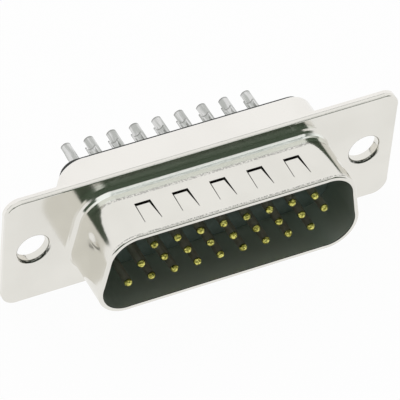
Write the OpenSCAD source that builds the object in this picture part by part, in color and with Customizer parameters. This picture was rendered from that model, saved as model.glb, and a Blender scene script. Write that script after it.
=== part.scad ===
// High-density D-sub plug, 26 pins in three rows, for soldered cables.
//
// X runs along the connector, -Y is the way the pins point and +Z is the
// narrow side of the D. The origin lies midway between the two mounting
// holes, on the front face of the flange.
//
// The sub-parts are drawn lying down and stood up by stand_up(): there x is
// the length, y the height and z the distance in front of the flange.

/* [Flange] */
// Length of the flange
flange_w = 39.14; // [38:0.02:44]
// Height of the flange
flange_h = 12.54; // [12:0.02:16]
// Corner radius of the flange
flange_corner_r = 1.5; // [0.5:0.1:3]
// Distance of a mounting hole from the end of the flange
hole_inset = 2.91; // [2.8:0.01:3.1]
// Diameter of the mounting holes
hole_d = 3.05; // [2.5:0.05:3.5]
// Rolled edge where the punch entered the flange
punch_round_r = 0.35; // [0.1:0.05:0.4]
// Rounding of the flange's outer front edge
edge_round_r = 0.12; // [0.05:0.01:0.2]
// Rounding of the rear shell's flange against the front shell
rear_round_r = 0.05; // [0.04:0.01:0.1]
// Wall of the collars that join the shells at the mounting holes
collar_wall = 0.25; // [0.2:0.05:0.3]
// How far a collar is rolled out behind the rear shell
roll_w = 0.3; // [0.2:0.05:0.4]
// Thickness of the rolled end of a collar
roll_t = 0.2; // [0.15:0.05:0.3]

/* [Front shell] */
// Sheet thickness of the front shell
front_sheet_t = 0.4; // [0.3:0.05:0.5]
// Inside width of the D-shaped skirt at its long side
skirt_w = 25.25; // [24:0.05:26]
// Inside height of the skirt
skirt_h = 8.36; // [8:0.02:9]
// Inside corner radius of the skirt
skirt_corner_r = 2.6; // [2:0.1:3]
// Reach of the skirt in front of the flange
skirt_depth = 6.02; // [5.5:0.02:7]
// Lean of the two short sides of the D
side_lean = 10; // [5:1:12]
// Fillet between the skirt and the flange
skirt_root_r = 0.6; // [0.3:0.05:0.7]
// Rounding of the skirt's outer rim
rim_round_r = 0.15; // [0.05:0.01:0.25]

/* [Spring tabs] */
// Tabs lanced out of the skirt's wall at the narrow side of the D
tab_count = 5; // [1:1:5]
// Distance between neighbouring tabs
tab_pitch = 3.7; // [3:0.05:4]
// Width of a tab at its root
tab_root_w = 1.6; // [1:0.05:2]
// Width of a tab at its free end
tab_tip_w = 1.3; // [0.8:0.05:2]
// Distance from the flange to a tab's free end
tab_end = 2.3; // [1.8:0.05:2.8]
// Length of a tab
tab_length = 2.3; // [1.8:0.05:2.6]
// How far a free end is pressed inwards
tab_drop = 0.16; // [0.1:0.02:0.36]
// Width of the lanced cut at a tab's end and root
tab_cut = 0.05; // [0.03:0.01:0.08]
// Width of the lanced cut beside a tab's free end
tab_side_cut = 0.11; // [0.05:0.01:0.15]

/* [Rear shell] */
// Sheet thickness of the rear shell
rear_sheet_t = 0.4; // [0.3:0.05:0.5]
// Outside width of the rear shell at its long side
rear_w = 27.51; // [27.4:0.01:29]
// Outside height of the rear shell
rear_h = 10.72; // [10.7:0.02:11.4]
// Outside corner radius of the rear shell
rear_corner_r = 2.5; // [2.2:0.1:2.8]
// Distance from the flange's front face to the rear end of the shell
rear_depth = 4.28; // [3.8:0.02:6]
// Fillet between the rear shell and its flange
rear_root_r = 0.3; // [0.2:0.05:0.4]
// Outside radius of the turned-in rear edge
rear_edge_r = 0.5; // [0.5:0.05:0.7]
// Width of the turned-in lip above and below the opening
lip_w = 0.7; // [0.6:0.05:1]
// Width of the turned-in lip at the two short sides
lip_side_w = 0.6; // [0.6:0.05:1]
// Corner radius of the opening in the rear end
opening_corner_r = 1.5; // [1.2:0.1:1.8]

/* [Insulators] */
// Distance from the flange's front face to the face around the pins
pin_face = 0.95; // [0.6:0.05:1.5]
// Distance behind the flange's front face where the two insulators meet
split_depth = 1.3; // [1.1:0.05:1.6]
// How far the rear insulator stands out of the rear shell
boss_reach = 0.5; // [0.3:0.05:1]
// Bevel on the rear insulator's shoulder
shoulder_bevel = 0.15; // [0.12:0.01:0.3]
// Gap between a moulding and the sheet or contact that it seats on
fit_gap = 0.02; // [0.01:0.01:0.04]

/* [Contacts] */
// Distance between neighbouring contacts of a row
contact_pitch = 2.29; // [2.2:0.01:2.4]
// Distance between the rows
row_pitch = 1.98; // [1.9:0.01:2.1]
// Diameter of a pin
pin_d = 0.76; // [0.7:0.01:0.8]
// Reach of the pins in front of the flange
pin_reach = 5.5; // [5:0.05:5.8]
// Diameter of the collar that keeps a contact in place
collar_d = 1.25; // [1.15:0.05:1.4]
// Thickness of the collar
collar_t = 0.4; // [0.3:0.05:0.6]
// Diameter of a solder cup
cup_d = 1; // [0.95:0.01:1.1]
// Diameter of the bore in a solder cup
cup_bore_d = 0.74; // [0.6:0.01:0.8]
// Depth of the bore in a solder cup
cup_bore_depth = 2.8; // [2.2:0.1:3]
// Length of the cut-away side of a solder cup
scoop_length = 1.7; // [1.2:0.1:2]
// Distance from the flange to the end of the outer rows' solder cups
outer_cup_end = 8.15; // [7.6:0.05:9]
// Distance from the flange to the end of the middle row's solder cups
middle_cup_end = 10.7; // [10:0.05:12]

/* [Hidden] */
$fn = 32;

// Overlap of a cutting tool past the face that it cuts
over = 0.5;
// Overlap of the middle of a D with its straight sides
core_overlap = 0.5;
// How far the corners of a D stand proud of its sides
seam = 0.02;
// Largest turn of one flat step in a bend, in degrees
arc_step = 22.5;

// Depths behind the flange's front face
flange_back = front_sheet_t + rear_sheet_t;
roll_end = flange_back + roll_t;
lip_face = rear_depth - rear_sheet_t;
shoulder_end = lip_face - fit_gap;
boss_end = rear_depth + boss_reach;
collar_end = split_depth + collar_t;

// Distance from the flange to the root of a tab
tab_root = tab_end + tab_length;

// Rows of contacts from the long side of the D to the short side:
// contacts in the row, end of its solder cups, side that their scoops open to
ROWS = [
    [9, outer_cup_end, -1],
    [9, middle_cup_end, -1],
    [8, outer_cup_end, 1]
];

function row_of(number) = number > 18 ? 2 : number > 9 ? 1 : 0;
function contact_name(number) = str("contact_", number < 10 ? "0" : "", number);
// Each row starts half a step further along than the row below it
function place_x(row, step) = (step + row / 2 - ROWS[0][0] / 2 + 0.25) * contact_pitch;
function place_y(row) = (row - 1) * row_pitch;
// Contacts are numbered from +X to -X, from the long row to the short one
function contact_step(number) = [9, 18, 26][row_of(number)] - number;

// A D outline is kept as the centres of its corner arcs:
// half width at the long side, half width at the short side, half height.
function d_corners(w, h, r) = [
    w / 2 - r,
    w / 2 - r - (h - 2 * r) * tan(side_lean),
    h / 2 - r
];
// Half width of a D at mid height
function d_mid(w, h, r) =
    w / 2 - h / 2 * tan(side_lean) + r * (1 / cos(side_lean) - 1 + tan(side_lean));
// Width at the long side of a D with a given half width at mid height
function d_width(mid, h, r) = 2 * (mid - d_mid(0, h, r));

SKIRT = d_corners(skirt_w, skirt_h, skirt_corner_r);
REAR = d_corners(rear_w, rear_h, rear_corner_r);
opening_h = rear_h - 2 * lip_w;
opening_mid = d_mid(rear_w, rear_h, rear_corner_r) - lip_side_w / cos(side_lean);
OPENING = d_corners(
    d_width(opening_mid, opening_h, opening_corner_r), opening_h, opening_corner_r
);

skirt_outer_r = skirt_corner_r + front_sheet_t;
skirt_bend_r = skirt_outer_r + skirt_root_r;
rear_inner_r = rear_corner_r - rear_sheet_t;
rear_bend_r = rear_corner_r + rear_root_r;
insulator_r = rear_inner_r - fit_gap;

module stand_up() {
    rotate([90, 0, 0]) children();
}

// Filled D of corner radius r, drawn flat
module d_outline(d, r) {
    across = [r * cos(side_lean), r * sin(side_lean)];
    for (side = [-1, 1]) {
        translate([side * d[0], -d[2]]) circle(r);
        translate([side * d[1], d[2]]) circle(r);
    }
    polygon([
        [d[0], -d[2] - r],
        [d[0] + across[0], -d[2] + across[1]],
        [d[1] + across[0], d[2] + across[1]],
        [d[1], d[2] + r],
        [-d[1], d[2] + r],
        [-d[1] - across[0], d[2] + across[1]],
        [-d[0] - across[0], -d[2] + across[1]],
        [-d[0], -d[2] - r]
    ]);
}

// Solid D whose edge follows a section: the section's x is the distance from
// the corner centres and its y the distance in front of the flange. Sections
// start at x = -$inward, so that opposite sides meet in the middle. The corners
// stand proud by seam, so that they cross the straight sides and don't just
// touch them.
module d_body(d, lean = side_lean) {
    $inward = d[2] + core_overlap;
    centres = [[d[0], -d[2]], [d[1], d[2]], [-d[1], d[2]], [-d[0], -d[2]]];
    turns = [-90, lean, 90, 180 - lean, 270];
    for (i = [0:3]) {
        run = norm(centres[(i + 1) % 4] - centres[i]);
        translate(centres[i]) {
            rotate_extrude() intersection() {
                translate([seam, 0]) children();
                translate([0, -flange_w]) square(2 * flange_w);
            }
            rotate(turns[i + 1]) translate([0, run, 0]) rotate([90, 0, 0])
                linear_extrude(run) children();
        }
    }
}

// Points of an arc, as flat steps
function arc(x, y, r, from, to) =
    let (steps = ceil(abs(to - from) / arc_step))
    [for (i = [0:steps]) let (turn = from + (to - from) * i / steps)
        [x + r * cos(turn), y + r * sin(turn)]];

// Closes a section whose edge runs from its back to its front
module section(points) {
    last = len(points) - 1;
    polygon(concat([[-$inward, points[0][1]]], points, [[-$inward, points[last][1]]]));
}

// Flange of both shells, without its D opening
module flange(back, front, round_r) {
    half = [flange_w / 2 - flange_corner_r, flange_h / 2 - flange_corner_r];
    d_body([half[0], half[0], half[1]], 0) section(concat(
        [[flange_corner_r, back]],
        arc(flange_corner_r - round_r, front - round_r, round_r, 0, 90)
    ));
}

// Runs its children at both mounting holes
module at_holes() {
    for (side = [-1, 1]) translate([side * (flange_w / 2 - hole_inset), 0, 0]) children();
}

module mounting_holes() {
    at_holes() {
        translate([0, 0, -roll_end - over]) cylinder(d = hole_d, h = roll_end + 2 * over);
        rotate_extrude() difference() {
            translate([0, -punch_round_r])
                square([hole_d / 2 + punch_round_r, punch_round_r + over]);
            translate([hole_d / 2 + punch_round_r, -punch_round_r]) circle(punch_round_r);
        }
    }
}

// Collars drawn out of the front shell's holes, through the rear shell's wider
// holes, and rolled out behind them to join the two shells
module collars() {
    outer_r = hole_d / 2 + collar_wall;
    at_holes() {
        translate([0, 0, -roll_end]) cylinder(r = outer_r, h = roll_end - front_sheet_t / 2);
        translate([0, 0, -roll_end])
            cylinder(r1 = outer_r + roll_w - roll_t / 2, r2 = outer_r + roll_w, h = roll_t);
    }
}

// Runs its children at every spring tab, on the inner face of the skirt's wall
module at_tabs() {
    for (i = [0:tab_count - 1])
        translate([(i - (tab_count - 1) / 2) * tab_pitch, skirt_h / 2, 0]) children();
}

module tab_window() {
    tip_half = tab_tip_w / 2 + tab_side_cut;
    root_half = tab_root_w / 2 + tab_cut;
    rotate([90, 0, 0]) linear_extrude(2 * (front_sheet_t + over), center = true) polygon([
        [-tip_half, tab_end - tab_cut],
        [tip_half, tab_end - tab_cut],
        [root_half, tab_root],
        [-root_half, tab_root]
    ]);
}

// A tab leans in and narrows from its root to its free end, which points at the
// flange
module tab() {
    intersection() {
        translate([-tab_root_w, 0, 0]) rotate([90, 0, 90]) linear_extrude(2 * tab_root_w) polygon([
            [front_sheet_t, tab_root + tab_cut],
            [0, tab_root + tab_cut],
            [0, tab_root],
            [-tab_drop, tab_end],
            [front_sheet_t - tab_drop, tab_end],
            [front_sheet_t, tab_root]
        ]);
        rotate([90, 0, 0]) linear_extrude(2 * (front_sheet_t + over), center = true) polygon([
            [-tab_tip_w / 2, tab_end - tab_cut],
            [tab_tip_w / 2, tab_end - tab_cut],
            [tab_root_w / 2, tab_root],
            [tab_root_w / 2, tab_root + over],
            [-tab_root_w / 2, tab_root + over],
            [-tab_root_w / 2, tab_root]
        ]);
    }
}

// Outer form of the front shell's skirt, with the fillet into the flange. It
// goes past the rim, for rim_cut() to trim.
module skirt_outside() {
    past = rim_round_r * sqrt(0.5);
    d_body(SKIRT) section(concat(
        [[skirt_bend_r, -front_sheet_t]],
        arc(skirt_bend_r, skirt_root_r, skirt_root_r, 270, 180),
        arc(skirt_outer_r - rim_round_r, skirt_depth - rim_round_r, rim_round_r, 0, 45),
        [[skirt_outer_r - 2 * rim_round_r + past, skirt_depth + past]]
    ));
}

module rim_cut() {
    translate([-flange_w / 2, -flange_h / 2, skirt_depth]) cube([flange_w, flange_h, over]);
}

// Space inside the front shell's skirt, which widens at the bend into the flange
module skirt_inside() {
    d_body(SKIRT) section(concat(
        [[skirt_bend_r, -front_sheet_t - over]],
        arc(skirt_bend_r, skirt_root_r, skirt_root_r + front_sheet_t, 270, 180),
        [[skirt_corner_r, skirt_depth + over]]
    ));
}

module front_shell() {
    color("silver") stand_up() {
        difference() {
            union() {
                flange(-front_sheet_t, 0, edge_round_r);
                skirt_outside();
                collars();
            }
            skirt_inside();
            rim_cut();
            mounting_holes();
            at_tabs() tab_window();
        }
        at_tabs() tab();
    }
}

// Outer form of the rear shell behind its flange, with the turned-in rear edge
module rear_outside() {
    d_body(REAR) section(concat(
        arc(rear_corner_r - rear_edge_r, rear_edge_r - rear_depth, rear_edge_r, -90, 0),
        arc(rear_bend_r, -flange_back - rear_root_r, rear_root_r, 180, 90),
        [[rear_bend_r, -front_sheet_t]]
    ));
}

// Space inside the rear shell, up to the lip at its rear end
module rear_inside() {
    edge_r = rear_edge_r - rear_sheet_t;
    d_body(REAR) section(concat(
        arc(rear_inner_r - edge_r, edge_r - lip_face, edge_r, -90, 0),
        arc(rear_bend_r, -flange_back - rear_root_r, rear_root_r + rear_sheet_t, 180, 90),
        [[rear_bend_r, over - front_sheet_t]]
    ));
}

module rear_shell() {
    color("gainsboro") stand_up() difference() {
        union() {
            flange(-flange_back, -front_sheet_t, rear_round_r);
            rear_outside();
        }
        rear_inside();
        translate([0, 0, -rear_depth - over])
            linear_extrude(rear_sheet_t + 2 * over) d_outline(OPENING, opening_corner_r);
        at_holes() translate([0, 0, -flange_back - over])
            cylinder(d = hole_d + 2 * (collar_wall + fit_gap), h = flange_back + over);
    }
}

// Runs its children at every contact's place
module at_contacts() {
    for (row = [0:2], step = [0:ROWS[row][0] - 1])
        translate([place_x(row, step), place_y(row), 0]) children();
}

// Block around the pins. Its shoulder fills the rear shell, so that the bend of
// the front shell holds it back.
module front_insulator() {
    block_r = skirt_corner_r - fit_gap;
    color("#202020") stand_up() difference() {
        union() {
            d_body(REAR) section([
                [insulator_r, -split_depth],
                [insulator_r, -front_sheet_t - fit_gap]
            ]);
            d_body(SKIRT) section([[block_r, -flange_back], [block_r, pin_face]]);
        }
        at_contacts() translate([0, 0, -split_depth - over])
            cylinder(d = pin_d + 2 * fit_gap, h = split_depth + pin_face + 2 * over);
    }
}

// Block behind the split, with a shoulder inside the lip and a boss through it
module rear_insulator() {
    color("#1a1a1a") stand_up() difference() {
        union() {
            d_body(REAR) section([
                [insulator_r - shoulder_bevel, -shoulder_end],
                [insulator_r, shoulder_bevel - shoulder_end],
                [insulator_r, -split_depth]
            ]);
            translate([0, 0, -boss_end]) linear_extrude(boss_end - shoulder_end + over)
                d_outline(OPENING, opening_corner_r - fit_gap);
        }
        at_contacts() {
            translate([0, 0, -collar_end - fit_gap])
                cylinder(d = collar_d + 2 * fit_gap, h = collar_end + fit_gap);
            translate([0, 0, -boss_end - over])
                cylinder(d = cup_d + 2 * fit_gap, h = boss_end + over);
        }
    }
}

// Cutter that opens one side of a solder cup, with a rounded inner end
module scoop(side, cup_end) {
    cutter_r = cup_d / 2 + over;
    translate([-cup_d, side > 0 ? 0 : -cutter_r, -cup_end - over])
        cube([2 * cup_d, cutter_r, over + scoop_length - cutter_r]);
    translate([-cup_d, side * cutter_r, scoop_length - cutter_r - cup_end])
        rotate([0, 90, 0]) cylinder(r = cutter_r, h = 2 * cup_d);
}

// Turned contact: pin with a round tip, collar trapped at the split, solder cup
module contact(number) {
    row = row_of(number);
    cup_end = ROWS[row][1];
    color("gold") stand_up()
        translate([place_x(row, contact_step(number)), place_y(row), 0]) {
            translate([0, 0, -split_depth])
                cylinder(d = pin_d, h = split_depth + pin_reach - pin_d / 2);
            translate([0, 0, pin_reach - pin_d / 2]) sphere(d = pin_d);
            translate([0, 0, -collar_end]) cylinder(d = collar_d, h = collar_t);
            difference() {
                translate([0, 0, -cup_end]) cylinder(d = cup_d, h = cup_end - collar_end);
                translate([0, 0, -cup_end - over])
                    cylinder(d = cup_bore_d, h = cup_bore_depth + over);
                translate([0, 0, cup_bore_depth - cup_end])
                    cylinder(d1 = cup_bore_d, d2 = 0, h = cup_bore_d / 4);
                scoop(ROWS[row][2], cup_end);
            }
        }
}

front_shell();
rear_shell();
front_insulator();
rear_insulator();
for (number = [1:26])
    contact(number);
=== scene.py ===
import math

import bpy
from mathutils import Euler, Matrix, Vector


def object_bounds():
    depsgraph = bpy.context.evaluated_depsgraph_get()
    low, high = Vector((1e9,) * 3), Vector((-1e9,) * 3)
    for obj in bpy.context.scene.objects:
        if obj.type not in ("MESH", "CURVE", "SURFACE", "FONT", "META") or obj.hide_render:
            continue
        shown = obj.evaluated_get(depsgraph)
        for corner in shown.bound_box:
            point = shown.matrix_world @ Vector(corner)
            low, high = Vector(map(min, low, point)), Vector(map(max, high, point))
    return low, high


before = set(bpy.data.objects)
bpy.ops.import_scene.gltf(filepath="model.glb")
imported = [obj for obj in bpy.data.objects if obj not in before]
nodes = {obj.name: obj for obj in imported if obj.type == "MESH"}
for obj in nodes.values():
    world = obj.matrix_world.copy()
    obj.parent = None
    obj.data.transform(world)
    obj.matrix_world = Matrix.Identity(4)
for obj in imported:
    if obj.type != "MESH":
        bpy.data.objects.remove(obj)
cad_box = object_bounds()

MM = 0.001
CONTACTS = sorted(name for name in nodes if name.startswith("contact_"))

# Sizes of the connector in millimetres. The skirt runs from the flange, at y = 0,
# to -SKIRT_DEPTH, and the cups end at y = OUTER_CUP_END and MIDDLE_CUP_END. A tab's
# slits lie SLIT_TIP_X from its middle at its free end and SLIT_ROOT_X at its root.
HOLE_X = 16.66
SKIRT_DEPTH = -cad_box[0][1] / MM
SKIRT_CORNER_R = 2.6
SKIRT_CORNER_X = 9.75
SKIRT_SIDE_SLOPE = 0.176
SKIRT_INSIDE_Z = 4.18
TAB_COUNT = 5
TAB_PITCH = 3.7
TAB_END = 2.3
TAB_LENGTH = 2.3
SLIT_TIP_X = 0.71
SLIT_ROOT_X = 0.83
PIN_REACH = 5.5
OUTER_CUP_END = 8.15
MIDDLE_CUP_END = cad_box[1][1] / MM


# ---------------------------------------------------------------- shader maths


class Wire:
    """A node's output, with Python's operators for shader maths."""

    def __init__(self, tree, socket=None):
        self.tree = tree
        self.socket = socket

    def node(self, kind, settings=None, inputs=None, output=0):
        """Adds a node, makes its settings, then gives its sockets values or links."""
        made = self.tree.nodes.new(kind)
        for name, value in (settings or {}).items():
            setattr(made, name, value)
        for name, value in (inputs or {}).items():
            if isinstance(value, Wire):
                self.tree.links.new(value.socket, made.inputs[name])
            else:
                made.inputs[name].default_value = value
        return Wire(self.tree, made.outputs[output] if made.outputs else None)

    def math(self, operation, *values):
        return self.node("ShaderNodeMath", {"operation": operation}, dict(enumerate(values)))

    def __add__(self, other):
        return self.math("ADD", self, other)

    def __sub__(self, other):
        return self.math("SUBTRACT", self, other)

    def __rsub__(self, other):
        return self.math("SUBTRACT", other, self)

    def __mul__(self, other):
        return self.math("MULTIPLY", self, other)

    __radd__ = __add__

    def ramp(self, low, high):
        """0 below low, 1 above high, smooth between them."""
        return self.node(
            "ShaderNodeMapRange",
            {"interpolation_type": "SMOOTHSTEP"},
            {"Value": self, "From Min": low, "From Max": high},
        )

    def mix(self, first, second):
        """first where this is 0, second where it is 1, for colours."""
        return self.node(
            "ShaderNodeMix", {"data_type": "RGBA"}, {0: self, 6: first, 7: second}, output=2
        )


def place(wire):
    """Object coordinates as separate X, Y and Z."""
    spot = wire.node("ShaderNodeTexCoord", output=3)
    parts = wire.node("ShaderNodeSeparateXYZ", inputs={0: spot}).socket.node
    return spot, [Wire(wire.tree, parts.outputs[i]) for i in range(3)]


def noise(spot, scale, detail=3.0, stretch=(1, 1, 1)):
    """Fractal noise from 0 to 1, with this many cells to the metre."""
    stretched = spot.node("ShaderNodeMapping", inputs={"Vector": spot, "Scale": stretch})
    return spot.node(
        "ShaderNodeTexNoise", inputs={"Vector": stretched, "Scale": scale, "Detail": detail}
    )


def bump(height):
    """A normal that follows a height given in millimetres."""
    return height.node(
        "ShaderNodeBump", inputs={"Height": height, "Distance": MM, "Strength": 1.0}
    )


def new_material(name):
    """An empty material: its wire and a function that finishes it with a Principled shader."""
    material = bpy.data.materials.new(name)
    material.use_nodes = True
    material.node_tree.nodes.clear()
    wire = Wire(material.node_tree)

    def finish(**inputs):
        named = {key.replace("_", " "): value for key, value in inputs.items()}
        shader = wire.node("ShaderNodeBsdfPrincipled", inputs=named)
        wire.node("ShaderNodeOutputMaterial", inputs={"Surface": shader})
        return material

    return wire, finish


def rgb(r, g, b):
    return (r, g, b, 1.0)


# ---------------------------------------------------------------- materials


def painted_slit_shade(x, y, z):
    """1 on painted shade in the cuts round the spring tabs, 0 elsewhere; lengths in mm."""
    nearest_tab = x.math("ROUND", x * (1 / TAB_PITCH)) * TAB_PITCH
    across = x.math("ABSOLUTE", x - nearest_tab)
    depth = 0 - y
    along = (depth - TAB_END) * (1 / TAB_LENGTH)
    slit_x = along * (SLIT_ROOT_X - SLIT_TIP_X) + SLIT_TIP_X
    beside = x.math("ABSOLUTE", across - slit_x)
    root = TAB_END + TAB_LENGTH
    past_end = depth.ramp(TAB_END - 0.1, TAB_END - 0.08)
    sides = 1 - (beside + along * 0.06).ramp(0.07, 0.1)
    sides = sides * past_end * (1 - depth.ramp(root - 0.1, root))
    bar = past_end * (1 - depth.ramp(TAB_END + 0.08, TAB_END + 0.12))
    bar = bar * (1 - across.ramp(SLIT_TIP_X + 0.03, SLIT_TIP_X + 0.06))
    row_end = TAB_PITCH * (TAB_COUNT - 1) / 2 + 1.2
    in_row = 1 - x.math("ABSOLUTE", x).ramp(row_end, row_end + 0.1)
    wall = z.ramp(SKIRT_INSIDE_Z + 0.07, SKIRT_INSIDE_Z + 0.12)
    return x.math("MAXIMUM", sides, bar) * wall * in_row


def painted_hole_shade(x, y, z):
    """1 on painted shade low in each mounting hole's lip and wall, 0 elsewhere; lengths in mm.
    """
    aside = x.math("ABSOLUTE", x) - HOLE_X
    radius = x.math("SQRT", aside * aside + z * z)
    low = 1 - (z + aside * 0.15).ramp(-1.1, -0.1)
    return low * y.ramp(0.02, 0.07) * (1 - y.ramp(0.24, 0.32)) * (1 - radius.ramp(2.1, 2.3))


def skirt_inside(x, y, z):
    """1 on the skirt's rougher inner face, tinted with painted shade, 0 on the rest of the front
    shell; lengths in mm.
    """
    corner_z = SKIRT_INSIDE_Z - SKIRT_CORNER_R
    level = x.math("MINIMUM", x.math("MAXIMUM", z, -corner_z), corner_z)
    aside = x.math("ABSOLUTE", x) - SKIRT_CORNER_X + level * SKIRT_SIDE_SLOPE
    aside = x.math("MAXIMUM", aside, 0.0)
    above = x.math("MAXIMUM", x.math("ABSOLUTE", z) - corner_z, 0.0)
    radius = x.math("SQRT", aside * aside + above * above)
    within = 1 - radius.ramp(SKIRT_CORNER_R + 0.14, SKIRT_CORNER_R + 0.24)
    depth = 0 - y
    short_of_rim = 1 - depth.ramp(SKIRT_DEPTH - 0.12, SKIRT_DEPTH - 0.06)
    return within * depth.ramp(0.2, 0.4) * short_of_rim


def steel_tint(spot, light, dark):
    """Broad clouds over plated steel, and its colour, from light to dark with them."""
    cloud = noise(spot, 160.0)
    return cloud, cloud.ramp(0.35, 0.7).mix(light, dark)


def orange_peel(spot):
    """Height in millimetres of the faint waves that drawing leaves in plated sheet."""
    return noise(spot, 2600.0, 2.0, (0.5, 1, 1)) * 0.003


def front_plating():
    """Bright plating on drawn sheet, with a faint orange peel.

    A slope in the bump stands for the skirt's slight flare towards the flange. On the
    skirt's top a painted highlight lies near the flange, and painted dark reflections
    lie in a speckled line just behind it and in another by the rim.
    """
    wire, finish = new_material("front_plating")
    spot, parts = place(wire)
    x, y, z = (part * (1 / MM) for part in parts)
    cloud, tint = steel_tint(spot, rgb(0.79, 0.775, 0.725), rgb(0.75, 0.735, 0.685))
    flare = 0.055
    depth = 0 - y
    above = z.ramp(3.2, 4.2)
    specks = noise(spot, 5200.0).ramp(0.4, 0.6)
    # Painted highlight on the skirt's top near the flange.
    bend_highlight = depth.ramp(0.1, 0.35) * (1 - depth.ramp(1.0, 1.2)) * above
    # Painted dark reflections, speckled, in a line past the highlight and another by the rim.
    dark_line_past_highlight = depth.ramp(1.0, 1.2) * (1 - depth.ramp(1.3, 1.45)) * above * 0.55
    by_rim = depth.ramp(SKIRT_DEPTH - 0.34, SKIRT_DEPTH - 0.26)
    past_rim_line = depth.ramp(SKIRT_DEPTH - 0.22, SKIRT_DEPTH - 0.14)
    rim_dark_line = by_rim * (1 - past_rim_line) * above * 0.8
    tint = bend_highlight.mix(tint, rgb(0.87, 0.9, 0.85))
    tint = ((dark_line_past_highlight + rim_dark_line) * specks).mix(tint, rgb(0.2, 0.2, 0.19))
    # The skirt's inner face is tinted a darker green-grey as painted shade.
    inside = skirt_inside(x, y, z)
    tint = inside.mix(tint, rgb(0.66, 0.71, 0.65))
    # Painted shade darkens the lower lip of each mounting hole.
    hole_shade = painted_hole_shade(x, y, z) * (0.55 + specks * 0.4)
    tint = hole_shade.mix(tint, rgb(0.05, 0.055, 0.045))
    # The cuts round the spring tabs are darkened as painted shade.
    return finish(
        Base_Color=painted_slit_shade(x, y, z).mix(tint, rgb(0.06, 0.06, 0.05)),
        Metallic=1.0,
        Roughness=0.09 + cloud * 0.06 + inside * 0.34,
        Normal=bump(y * flare + orange_peel(spot)),
    )


def rear_plating():
    """The same plating on the rear shell, a little paler."""
    wire, finish = new_material("rear_plating")
    spot = place(wire)[0]
    cloud, tint = steel_tint(spot, rgb(0.87, 0.85, 0.81), rgb(0.84, 0.82, 0.78))
    return finish(
        Base_Color=tint,
        Metallic=1.0,
        Roughness=0.1 + cloud * 0.08,
        Normal=bump(orange_peel(spot)),
    )


def moulded_plastic(name, light, dark):
    """Satin moulding, in two near shades."""
    wire, finish = new_material(name)
    spot = place(wire)[0]
    grain = noise(spot, 2500.0, 4.0)
    return finish(
        Base_Color=grain.ramp(0.3, 0.7).mix(light, dark),
        Roughness=0.45 + grain * 0.2,
        Normal=bump(grain * 0.004),
    )


def contact_metal():
    """Gold on the pin's tip, duller plate on its shaft, pale tin on the solder cup."""
    wire, finish = new_material("contact_metal")
    spot, parts = place(wire)
    y, z = (part * (1 / MM) for part in parts[1:])
    worn = noise(spot, 1200.0)
    behind = y.ramp(0.0, 0.5)
    tip = (0 - y).ramp(PIN_REACH - 0.5, PIN_REACH - 0.35)
    facets = noise(spot, 5200.0, 1.0)
    gold = facets.ramp(0.4, 0.6).mix(rgb(0.74, 0.7, 0.2), rgb(0.34, 0.32, 0.06))
    shaft = worn.ramp(0.3, 0.7).mix(rgb(0.62, 0.57, 0.49), rgb(0.54, 0.5, 0.43))
    streaks = noise(spot, 3200.0, 2.0, (1, 0.12, 1))
    tin = streaks.ramp(0.4, 0.6).mix(rgb(0.7, 0.7, 0.69), rgb(0.47, 0.48, 0.46))
    # Painted shade: a dark ring round the open end of each solder cup.
    outer_row = z.math("ABSOLUTE", z).ramp(0.9, 1.1)
    outer_mouth_shade = y.ramp(OUTER_CUP_END - 0.2, OUTER_CUP_END - 0.05) * outer_row
    middle_mouth_shade = y.ramp(MIDDLE_CUP_END - 0.2, MIDDLE_CUP_END - 0.05)
    mouth_shade = y.math("MAXIMUM", middle_mouth_shade, outer_mouth_shade)
    tin = (mouth_shade * 0.7).mix(tin, rgb(0.2, 0.2, 0.19))
    return finish(
        Base_Color=behind.mix(tip.mix(shaft, gold), tin),
        Metallic=1.0,
        Roughness=0.45 - tip * 0.25 - behind * 0.2,
        Normal=bump(worn * 0.0016 + facets * tip * 0.12),
    )


def floor_white():
    """White floor that stays white to the eye and in the metal, and takes a soft shadow."""
    material = bpy.data.materials.new("floor_white")
    material.use_nodes = True
    material.node_tree.nodes.clear()
    wire = Wire(material.node_tree)
    rays = wire.node("ShaderNodeLightPath").socket.node
    camera = Wire(wire.tree, rays.outputs["Is Camera Ray"])
    glossy = Wire(wire.tree, rays.outputs["Is Glossy Ray"])
    paint = wire.node("ShaderNodeBsdfDiffuse", inputs={"Color": rgb(0.95, 0.95, 0.95)})
    glow = wire.node("ShaderNodeEmission", inputs={"Color": rgb(1, 1, 1), "Strength": 1.0})
    seen = wire.math("MAXIMUM", camera, glossy) * 0.96
    mixed = wire.node("ShaderNodeMixShader", inputs={0: seen, 1: paint, 2: glow})
    wire.node("ShaderNodeOutputMaterial", inputs={"Surface": mixed})
    return material


def assign(material, *names):
    """Gives the material to every slot of these pieces."""
    for name in names:
        for slot in nodes[name].material_slots:
            slot.material = material


assign(front_plating(), "front_shell")
assign(rear_plating(), "rear_shell")
# The front moulding is a paler green-grey than the black rear moulding: painted light for the
# shaded cavity.
assign(
    moulded_plastic("front_moulding", rgb(0.12, 0.16, 0.145), rgb(0.105, 0.14, 0.125)),
    "front_insulator",
)
assign(
    moulded_plastic("rear_moulding", rgb(0.022, 0.026, 0.024), rgb(0.03, 0.034, 0.032)),
    "rear_insulator",
)
assign(contact_metal(), *CONTACTS)


# ---------------------------------------------------------------- stage


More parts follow.
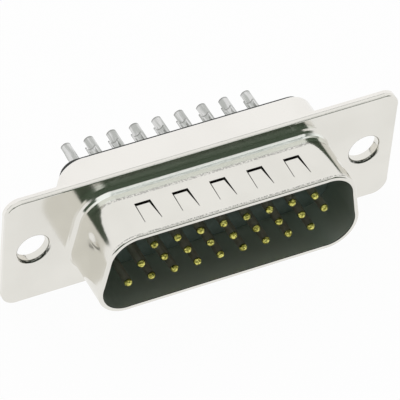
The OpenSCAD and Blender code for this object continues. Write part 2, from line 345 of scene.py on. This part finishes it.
def build_floor():
    """A wide white floor under the lowest point."""
    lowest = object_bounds()[0][2]
    bpy.ops.mesh.primitive_plane_add(size=6.0, location=(0, 0, lowest))
    floor = bpy.context.object
    floor.name = "floor"
    floor.data.materials.append(floor_white())


def build_world():
    """White all round, but for the dim side of the room in front of the pins and overhead."""
    world = bpy.data.worlds.new("room")
    bpy.context.scene.world = world
    world.use_nodes = True
    world.node_tree.nodes.clear()
    wire = Wire(world.node_tree)
    way = wire.node("ShaderNodeTexCoord", output=0)
    parts = wire.node("ShaderNodeSeparateXYZ", inputs={0: way}).socket.node
    y, z = (Wire(wire.tree, parts.outputs[i]) for i in (1, 2))
    overhead_way = Vector((0.357, -0.146, 0.9225))
    overhead = wire.node(
        "ShaderNodeVectorMath", {"operation": "DOT_PRODUCT"}, {0: way, 1: overhead_way}, output=1
    )
    front = (0 - y).ramp(0.2, 0.45) * z.ramp(0.02, 0.12) * (1 - z.ramp(0.675, 0.725))
    rays = wire.node("ShaderNodeLightPath").socket.node
    camera = Wire(wire.tree, rays.outputs["Is Camera Ray"])
    dim = wire.math("MAXIMUM", front, overhead.ramp(0.93, 0.955)) * (1 - camera)
    colour = dim.mix(rgb(1, 1, 1), rgb(0.07, 0.095, 0.068))
    glow = wire.node("ShaderNodeBackground", inputs={"Color": colour, "Strength": 1.0})
    wire.node("ShaderNodeOutputWorld", inputs={"Surface": glow})


def build_camera():
    """Long lens, looking down at the mating side from the left."""
    azimuth = math.radians(-30.41)
    elevation = math.radians(45.12)
    roll = math.radians(5.83)
    offset_mm = Vector((-0.191, -0.094, 366.4))
    camera = bpy.data.objects.new("camera", bpy.data.cameras.new("camera"))
    bpy.context.collection.objects.link(camera)
    camera.data.sensor_width = 36.0
    camera.data.lens = 366.07
    camera.data.clip_start = 0.01
    aim = Euler((math.pi / 2 - elevation, 0, azimuth)).to_matrix()
    axes = aim @ Euler((0, 0, roll)).to_matrix()
    camera.matrix_world = axes.to_4x4()
    camera.location = axes @ offset_mm * MM
    bpy.context.scene.camera = camera


build_floor()
build_world()
build_camera()

bpy.context.scene.view_settings.view_transform = "Standard"
